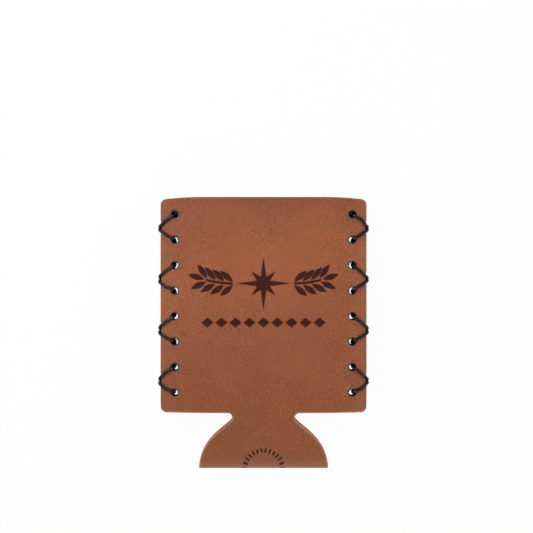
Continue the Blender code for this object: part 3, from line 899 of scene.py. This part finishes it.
def rim_turn(hole, direction, surface, outward):
    """The cord's turn over the rim of a hole, from the hole onto one face of the leather."""
    diagonal = STAND_OFF * DIAGONAL
    return [
        beside_hole(hole, direction, HOLE_RADIUS - STAND_OFF, surface),
        beside_hole(hole, direction, HOLE_RADIUS - diagonal, surface + outward * diagonal),
        beside_hole(hole, direction, HOLE_RADIUS + RIM_ROUND, surface + outward * (STAND_OFF - CORD_PRESS)),
    ]


def inner_turn(hole, neighbour):
    """The cord's turn onto the inner face towards a neighbour hole of its panel, or straight on through the
    pocket, at the side of the hole that the stitches pull it to. The knot is behind a hole's middle."""
    if neighbour is None:
        return [beside_hole(hole, (0.0, 0.0), 0.0, 0.0)]
    if neighbour[0] != hole[0]:
        return [beside_hole(hole, (1.0, 0.0), HOLE_RADIUS - STAND_OFF, 0.0)]
    way = 1.0 if neighbour[1] < hole[1] else -1.0
    return rim_turn(hole, (DIAGONAL, way * DIAGONAL), 0.0, -1)


def edge_stations(dips, spread):
    """How half of a pass rounds the edge, as distance past the edge, depth w, and distance from the stitch's
    middle. The two passes of a stitch meet on the edge and cross at the gap, where one of them dips in."""
    diagonal = STAND_OFF * DIAGONAL
    stations = [
        (0.0, LEATHER + STAND_OFF - CORD_PRESS, APEX_ALONG[0] * spread),
        (diagonal, LEATHER + diagonal, APEX_ALONG[1] * spread),
        (STAND_OFF, LEATHER, APEX_ALONG[2] * spread),
    ]
    if dips:
        stations += [
            (STAND_OFF, 0.0, PASS_PITCH),
            (diagonal, -diagonal, PASS_PITCH),
            (0.0, -STAND_OFF, PASS_PITCH),
            (-DIP_DEPTH, -EDGE_GAP / 2, 0.0),
        ]
    return stations


def edge_point(side, station, middle, way):
    past_edge, w, along = station
    s = middle + way * along
    return leather_points(edge_line(s) + past_edge, side * s, w)


def round_edge(start, end, dips, edge):
    """The cord's points from the hole it leaves, round the edge, to the hole it enters."""
    stitch = start[1] // 2
    spread, upper_bow, lower_bow = stitch_form(edge, stitch)
    start_bow, end_bow = (upper_bow, lower_bow) if start[1] < end[1] else (lower_bow, upper_bow)
    middle = stitch_place(stitch) - APEX_DROP
    way = 1.0 if start[1] < end[1] else -1.0
    stations = edge_stations(dips, spread)
    corner_s = middle + way * stations[0][2]
    leg = np.array([edge_line(corner_s) - HOLE_COLUMN, corner_s - hole_place(start[1])])
    leg /= np.linalg.norm(leg)
    leaving = rim_turn(start, leg, LEATHER, 1)
    entering = rim_turn(end, (leg[0], -leg[1]), LEATHER, 1)
    first = [edge_point(start[0], station, middle, way) for station in stations]
    second = [edge_point(end[0], station, middle, -way) for station in stations]
    if dips:
        crossing = [(first.pop() + second.pop()) / 2]
    else:
        crossing = [first[-1] + (second[-1] - first[-1]) * share for share in SPAN_SHARES]
    out = leg_middle(leaving[-1], first[0], start_bow)
    back = leg_middle(entering[-1], second[0], end_bow)
    return leaving + [out] + first + crossing + second[::-1] + [back] + entering[::-1]


def leg_middle(start, end, bow):
    """The middle of a leg, which no hand pulls quite straight: it bows outwards."""
    along = end - start
    outwards = np.array([abs(along[1]), -np.sign(along[1]) * along[0], 0.0]) / np.linalg.norm(along[:2])
    return (start + end) / 2 + outwards * bow + np.array([0.0, 0.0, LEG_LIFT])


def knot_centre():
    y = FOLD_CENTRE_Y + hole_place(0) - FOLD_HALF_ARC
    return np.array([HOLE_COLUMN, y, MIDDLE_HEIGHT])


def lace_route(edge):
    """The cord's route on the right edge, from its knot and back to it, with the stitches of the right edge
    (1) or of the left one (-1)."""
    passes = lace_passes()
    lift = np.array([0.0, 0.0, KNOT_LIFT])
    route = [knot_centre() + lift]
    for number, (start, end, dips) in enumerate(passes):
        before = passes[number - 1][1] if number > 0 else None
        after = passes[number + 1][0] if number + 1 < len(passes) else None
        route += inner_turn(start, before)[::-1]
        route += round_edge(start, end, dips, edge)
        route += inner_turn(end, after)
    route.append(knot_centre() - lift)
    return np.array(route)


def smooth_path(route):
    """Evenly spaced points along a smooth curve through the route's points."""
    padded = np.vstack([2 * route[0] - route[1], route, 2 * route[-1] - route[-2]])
    gaps = np.sqrt(np.linalg.norm(np.diff(padded, axis=0), axis=1))
    knots = np.concatenate([[0.0], np.cumsum(gaps)])
    curve = []
    for i in range(1, len(padded) - 2):
        t = np.linspace(knots[i], knots[i + 1], PATH_SAMPLES, endpoint=False)[:, None]
        a1, a2, a3 = (blend(padded, knots, i + k, i + k + 1, t) for k in (-1, 0, 1))
        b1 = (a1 * (knots[i + 1] - t) + a2 * (t - knots[i - 1])) / (knots[i + 1] - knots[i - 1])
        b2 = (a2 * (knots[i + 2] - t) + a3 * (t - knots[i])) / (knots[i + 2] - knots[i])
        curve.append((b1 * (knots[i + 1] - t) + b2 * (t - knots[i])) / (knots[i + 1] - knots[i]))
    curve = np.vstack(curve + [route[-1:]])
    length = travelled(curve)[-1]
    return points_along(curve, np.linspace(0.0, length, int(length / CORD_STEP) + 1))


def blend(points, knots, i, j, t):
    return (points[i] * (knots[j] - t) + points[j] * (t - knots[i])) / (knots[j] - knots[i])


def braid(turn, travel):
    """Height of a braid's surface: two families of strands wind round the cord and pass over and under."""
    along = travel / BRAID_LEAD
    left = STRANDS * (turn + along)
    right = STRANDS * (turn - along)
    over = (np.floor(left) + np.floor(right)) % 2 == 0
    left_bump = np.abs(np.sin(math.pi * left))
    right_bump = np.abs(np.sin(math.pi * right))
    upper = np.where(over, left_bump, right_bump)
    lower = np.where(over, right_bump, left_bump)
    return upper * (1 - BRAID_HOLLOW * (1 - lower))


def turning_frame(path):
    """Unit tangents along a path, and two unit normals that turn with it as little as they can."""
    tangents = np.gradient(path, axis=0)
    tangents /= np.linalg.norm(tangents, axis=1, keepdims=True)
    across = (0.0, 0.0, 1.0) if abs(tangents[0][2]) < STEEP else (1.0, 0.0, 0.0)
    normal = np.cross(tangents[0], across)
    normals = []
    for tangent in tangents:
        normal = normal - tangent * np.dot(normal, tangent)
        normal = normal / np.linalg.norm(normal)
        normals.append(normal)
    normals = np.array(normals)
    return tangents, normals, np.cross(tangents, normals)


def cord(path, radius):
    """Points and faces of a braided cord along a path, closed at both ends."""
    tangents, normals, sideways = turning_frame(path)
    turn = np.arange(CORD_SIDES) / CORD_SIDES
    reach = radius - BRAID_DEPTH * (1 - braid(turn[None, :], travelled(path)[:, None]))
    cosine = np.cos(2 * math.pi * turn)[None, :, None]
    sine = np.sin(2 * math.pi * turn)[None, :, None]
    outward = cosine * normals[:, None] + sine * sideways[:, None]
    points = (path[:, None] + reach[..., None] * outward).reshape(-1, 3)
    first_tip = len(points)
    last_ring = first_tip - CORD_SIDES
    cap = radius * CAP_SHARE
    points = np.vstack([points, path[0] - tangents[0] * cap, path[-1] + tangents[-1] * cap])
    faces = []
    for side in range(CORD_SIDES):
        after = (side + 1) % CORD_SIDES
        for ring in range(0, last_ring, CORD_SIDES):
            above = ring + CORD_SIDES
            faces.append((ring + side, ring + after, above + after, above + side))
        faces.append((after, first_tip, side))
        faces.append((last_ring + side, first_tip + 1, last_ring + after))
    return points, faces


def knot_paths(centre):
    """The knot that joins the lace's two ends: a tight overhand knot, and the two short tails."""
    t = np.linspace(0, 2 * math.pi, KNOT_STEPS)
    loop = np.column_stack([np.sin(t) + 2 * np.sin(2 * t), np.cos(t) - 2 * np.cos(2 * t), -np.sin(3 * t)])
    loop *= (KNOT_SCALE, KNOT_SCALE, KNOT_LIFT)
    paths = [centre + loop]
    for way in (1, -1):
        start = centre + np.array([-KNOT_SCALE, way * KNOT_SCALE, way * KNOT_LIFT / 2])
        bend = start + TAIL_LENGTH * np.array([TAIL_BEND[0], way * TAIL_BEND[1], 0.0])
        end = start + TAIL_LENGTH * np.array([TAIL_END[0], way * TAIL_END[1], 0.0])
        end[2] -= way * KNOT_LIFT
        paths.append(smooth_path(np.array([start, bend, end])))
    return paths


def lace_piece(name, node, mirrored, material):
    route = lace_route(-1 if mirrored else 1)
    runs = [(smooth_path(route), CORD_RADIUS)]
    runs += [(path, KNOT_CORD_RADIUS) for path in knot_paths(knot_centre())]
    points = np.zeros((0, 3))
    faces = []
    for path, radius in runs:
        if mirrored:
            path = path * (-1.0, 1.0, 1.0)
        new_points, new_faces = cord(path, radius)
        faces += [tuple(corner + len(points) for corner in face) for face in new_faces]
        points = np.vstack([points, new_points])
    dress(mesh_piece(name, points, faces, [material]), node)


def dress(piece, node):
    """The piece stands for a node of the frame: it hangs from the root body, and the node's solid is hidden.
    """
    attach(piece, "root")
    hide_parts(node)


# Materials

def put(tree, value, socket):
    """Links an output to a socket, or sets the socket's own value."""
    if isinstance(value, bpy.types.NodeSocket):
        tree.links.new(value, socket)
    elif isinstance(value, tuple):
        socket.default_value = (*value, 1.0) if len(socket.default_value) == 4 else value
    else:
        socket.default_value = value


def add_node(tree, kind, inputs, output=0, **settings):
    """One output of a new node, whose inputs are linked or set."""
    node = tree.nodes.new("ShaderNode" + kind)
    for name, value in settings.items():
        setattr(node, name, value)
    for name, value in inputs.items():
        put(tree, value, node.inputs[name])
    return node.outputs[output] if node.outputs else None


class Finish:
    """One material's node tree, with short names for the nodes that it is made of."""

    def __init__(self, name, roughness, specular):
        self.material = bpy.data.materials.new(name)
        self.material.use_nodes = True
        self.tree = self.material.node_tree
        self.shader = self.tree.nodes["Principled BSDF"]
        self.shader.inputs["Roughness"].default_value = roughness
        self.shader.inputs["Specular IOR Level"].default_value = specular
        self.places = self.node("TexCoord", {}, "Object")

    def node(self, kind, inputs, output=0, **settings):
        return add_node(self.tree, kind, inputs, output, **settings)

    def noise(self, size, detail, roughness=0.55, stretch=(1.0, 1.0, 1.0)):
        """Soft noise whose spots are about size across."""
        places = self.node("VectorMath", {0: self.places, 1: stretch}, operation="MULTIPLY")
        inputs = {"Vector": places, "Scale": 1 / size, "Detail": detail, "Roughness": roughness}
        return self.node("TexNoise", inputs, "Fac")

    def uneven(self, noise, values, onto):
        """Noise, with a range of its values spread onto another range."""
        return self.spread(self.noise(*noise), values, onto)

    def cells(self, size, feature="F1"):
        inputs = {"Vector": self.places, "Scale": 1 / size}
        return self.node("TexVoronoi", inputs, "Distance", feature=feature)

    def spread(self, value, values, onto):
        """Spreads a range of values onto another range, without going past its ends."""
        return self.node("MapRange", dict(enumerate((value, *values, *onto))))

    def maths(self, operation, first, second):
        return self.node("Math", {0: first, 1: second}, operation=operation)

    def mark(self, name):
        return self.node("Attribute", {}, "Fac", attribute_name=name)

    def mix(self, share, first, second):
        """Two colours mixed, through the sockets that this node keeps for colours."""
        return self.node("Mix", {0: share, 6: first, 7: second}, 2, data_type="RGBA")

    def tint(self, colour, mark, share, over):
        """The colour, with up to a share of another colour over it where the mark is."""
        return self.mix(self.maths("MULTIPLY", self.mark(mark), share), colour, over)

    def shade(self, colour, factor):
        """The colour, lighter or darker by a factor."""
        return self.node("VectorMath", {0: colour, "Scale": factor}, operation="SCALE")

    def bump(self, height, depth, under=None):
        """A bump whose full height is depth, in metres, on top of another bump."""
        inputs = {"Height": height, "Distance": depth}
        if under is not None:
            inputs["Normal"] = under
        return self.node("Bump", inputs)

    def done(self, colour, normal, **others):
        for name, value in {"Base Color": colour, "Normal": normal, **others}.items():
            put(self.tree, value, self.shader.inputs[name])
        return self.material


def grain_material():
    """Smooth full-grain leather: cloudy brown with pebbles and pores, with painted sheen at the fold and
    along the side edges, and worn paler at the cut edges.
    """
    finish = Finish("brown_leather_grain", roughness=0.58, specular=0.35)
    mottle = finish.uneven(*MOTTLE)
    colour = finish.shade(LEATHER_COLOUR, finish.uneven(*CLOUD))
    # Painted pool of light on the upper middle of the front panel
    colour = finish.shade(colour, finish.spread(finish.mark("painted_light_pool"), FULL, LIGHT_POOL_SHADES))
    colour = finish.shade(colour, finish.spread(finish.mark("mouth"), FULL, MOUTH_SHADES))
    colour = finish.shade(colour, mottle)
    colour = finish.shade(colour, finish.uneven(*SPECK))
    colour = finish.mix(finish.mark("strain"), colour, finish.shade(colour, finish.uneven(*STRAIN)))
    # Painted shade, greyed by painted sheen, above the fold
    colour = finish.tint(colour, "bend", BEND_SHADE_SHARE, finish.shade(BEND_SHADE_COLOUR, mottle))
    # Painted sheen on the side strips and on the lip of the fold
    strip = finish.maths("MULTIPLY", finish.mark("strip"), SHEEN_STRIP_SHARE)
    pale = finish.maths("MAXIMUM", strip, finish.mark("painted_lip_sheen"))
    colour = finish.mix(pale, colour, finish.shade(PAINTED_SHEEN_COLOUR, mottle))
    # Pressed leather and painted shade along the cord legs
    colour = finish.tint(colour, "press_and_shade", PRESS_AND_SHADE_SHARE, PRESSED_SCORCHED_AND_SHADE_COLOUR)
    colour = finish.tint(colour, "halo", HALO_SHARE, PRESSED_SCORCHED_AND_SHADE_COLOUR)
    colour = finish.tint(colour, "worn", WORN_SHARE, RAW_EDGE_COLOUR)
    # Painted shade in and round the lacing holes
    colour = finish.mix(finish.mark("burn"), colour, RIM_SHADE_COLOUR)
    pores = finish.spread(finish.cells(PORE_PITCH), PORE_VALUES, FULL)
    normal = finish.bump(finish.noise(*WRINKLES), WRINKLE_DEPTH)
    normal = finish.bump(finish.cells(PEBBLE_SIZE, "SMOOTH_F1"), PEBBLE_DEPTH, normal)
    normal = finish.bump(pores, PORE_DEPTH, normal)
    return finish.done(colour, normal, Roughness=finish.uneven(*GRAIN_ROUGHNESS))


def raw_edge_material():
    """The cut edge: packed fibres, pale round the flare and polished darker where it is less worn."""
    finish = Finish("brown_leather_cut_edge", roughness=0.85, specular=0.2)
    fibres = finish.noise(*EDGE_FIBRES)
    polished = finish.spread(finish.mark("worn"), POLISHED_WEAR, FULL[::-1])
    colour = finish.mix(fibres, RAW_EDGE_COLOUR, RAW_EDGE_DARK)
    colour = finish.mix(finish.maths("MULTIPLY", polished, POLISHED_SHARE), colour, RAW_EDGE_DARK)
    # Painted shade on the walls of the lacing holes
    colour = finish.mix(finish.mark("burn"), colour, RIM_SHADE_COLOUR)
    return finish.done(colour, finish.bump(fibres, EDGE_FIBRE_DEPTH))


def suede_material():
    """The flesh side, with its short nap."""
    finish = Finish("brown_leather_flesh_side", roughness=0.95, specular=0.15)
    nap = finish.noise(*NAP)
    both = finish.maths("ADD", nap, finish.noise(*NAP_CLOUD))
    share = finish.spread(finish.maths("MULTIPLY", both, 0.5), MIDDLE, FULL)
    return finish.done(finish.mix(share, SUEDE_DARK, SUEDE_COLOUR), finish.bump(nap, NAP_DEPTH))


def burnt_material():
    """The engraving's floor: dark, scorched leather."""
    finish = Finish("burnt_engraving", roughness=0.85, specular=0.15)
    soot = finish.noise(*SOOT)
    colour = finish.shade(BURNT_COLOUR, finish.spread(soot, WIDE, SOOT_SHADES))
    return finish.done(colour, finish.bump(soot, SOOT_DEPTH))


def cord_material():
    finish = Finish("black_waxed_cord", roughness=0.26, specular=0.42)
    finish.shader.inputs["Specular Tint"].default_value = (*WAX_TINT, 1.0)
    fibres = finish.noise(*CORD_FIBRES)
    colour = finish.shade(CORD_COLOUR, finish.spread(fibres, WIDE, CORD_SHADES))
    normal = finish.bump(fibres, CORD_FIBRE_DEPTH)
    return finish.done(colour, normal, Roughness=finish.uneven(*WAX_ROUGHNESS))


# Floor, light and camera

def seen_share(tree):
    """1 for what the camera sees, also in a reflection or through glass, and 0 for light on the object."""
    path = tree.nodes.new("ShaderNodeLightPath").outputs
    total = path["Is Camera Ray"]
    for name in ("Is Glossy Ray", "Is Transmission Ray"):
        total = add_node(tree, "Math", {0: total, 1: path[name]}, operation="ADD", use_clamp=True)
    return total


def end_in_mix(tree, output, share, first, second):
    """Ends a node tree in a mix of two shaders."""
    mixed = add_node(tree, "MixShader", {0: share, 1: first, 2: second})
    add_node(tree, output, {"Surface": mixed})


def floor():
    mesh = bpy.data.meshes.new("floor")
    half = FLOOR_SIZE / 2
    corners = [(-half, -half, 0.0), (half, -half, 0.0), (half, half, 0.0), (-half, half, 0.0)]
    mesh.from_pydata(corners, [], [(0, 1, 2, 3)])
    plane = bpy.data.objects.new("floor", mesh)
    bpy.context.scene.collection.objects.link(plane)
    material = bpy.data.materials.new("white_floor")
    material.use_nodes = True
    tree = material.node_tree
    tree.nodes.clear()
    diffuse = add_node(tree, "BsdfDiffuse", {"Color": FLOOR_COLOUR})
    glow = add_node(tree, "Emission", {"Strength": 1.0})
    share = add_node(tree, "Math", {0: seen_share(tree), 1: BACKDROP_SHARE}, operation="MULTIPLY")
    end_in_mix(tree, "OutputMaterial", share, diffuse, glow)
    mesh.materials.append(material)


def world():
    made = bpy.data.worlds.new("studio")
    bpy.context.scene.world = made
    made.use_nodes = True
    tree = made.node_tree
    tree.nodes.clear()
    light = add_node(tree, "Background", {"Color": WHITE, "Strength": WORLD_STRENGTH})
    backdrop = add_node(tree, "Background", {"Color": WHITE, "Strength": 1.0})
    camera_only = add_node(tree, "LightPath", {}, "Is Camera Ray")
    end_in_mix(tree, "OutputWorld", camera_only, light, backdrop)


def lights():
    """Square area lights that face the middle of the sleeve."""
    for name, place, power in SOFTBOXES:
        data = bpy.data.lights.new(name, "AREA")
        data.shape = "SQUARE"
        data.size = SOFTBOX_SIZE
        data.energy = power
        lamp = bpy.data.objects.new(name, data)
        lamp.location = place
        lamp.rotation_euler = (-Vector(place)).to_track_quat("-Z", "Y").to_euler()
        bpy.context.scene.collection.objects.link(lamp)


def camera():
    """Straight above, as in the photograph, where the sleeve lies below the middle of the frame."""
    data = bpy.data.cameras.new("camera")
    data.sensor_width = SENSOR_WIDTH
    data.lens = SENSOR_WIDTH * CAMERA_DISTANCE / (PHOTO_WIDTH_PX * PIXEL)
    item = bpy.data.objects.new("camera", data)
    right, up = (-offset * PIXEL for offset in OBJECT_FROM_CENTRE_PX)
    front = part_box("leather_sleeve")[1].z
    item.location = (right, up, front + CAMERA_DISTANCE)
    bpy.context.scene.collection.objects.link(item)
    bpy.context.scene.camera = item


def main():
    for name in ("Cube", "Light", "Camera"):
        if name in bpy.data.objects:
            bpy.data.objects.remove(bpy.data.objects[name], do_unlink=True)
    bpy.context.scene.view_settings.view_transform = "Standard"
    camera()
    dress(leather_piece(), "leather_sleeve")
    cord_finish = cord_material()
    lace_piece("black_right_lace", "right_lace", False, cord_finish)
    lace_piece("black_left_lace", "left_lace", True, cord_finish)
    floor()
    world()
    lights()


main()
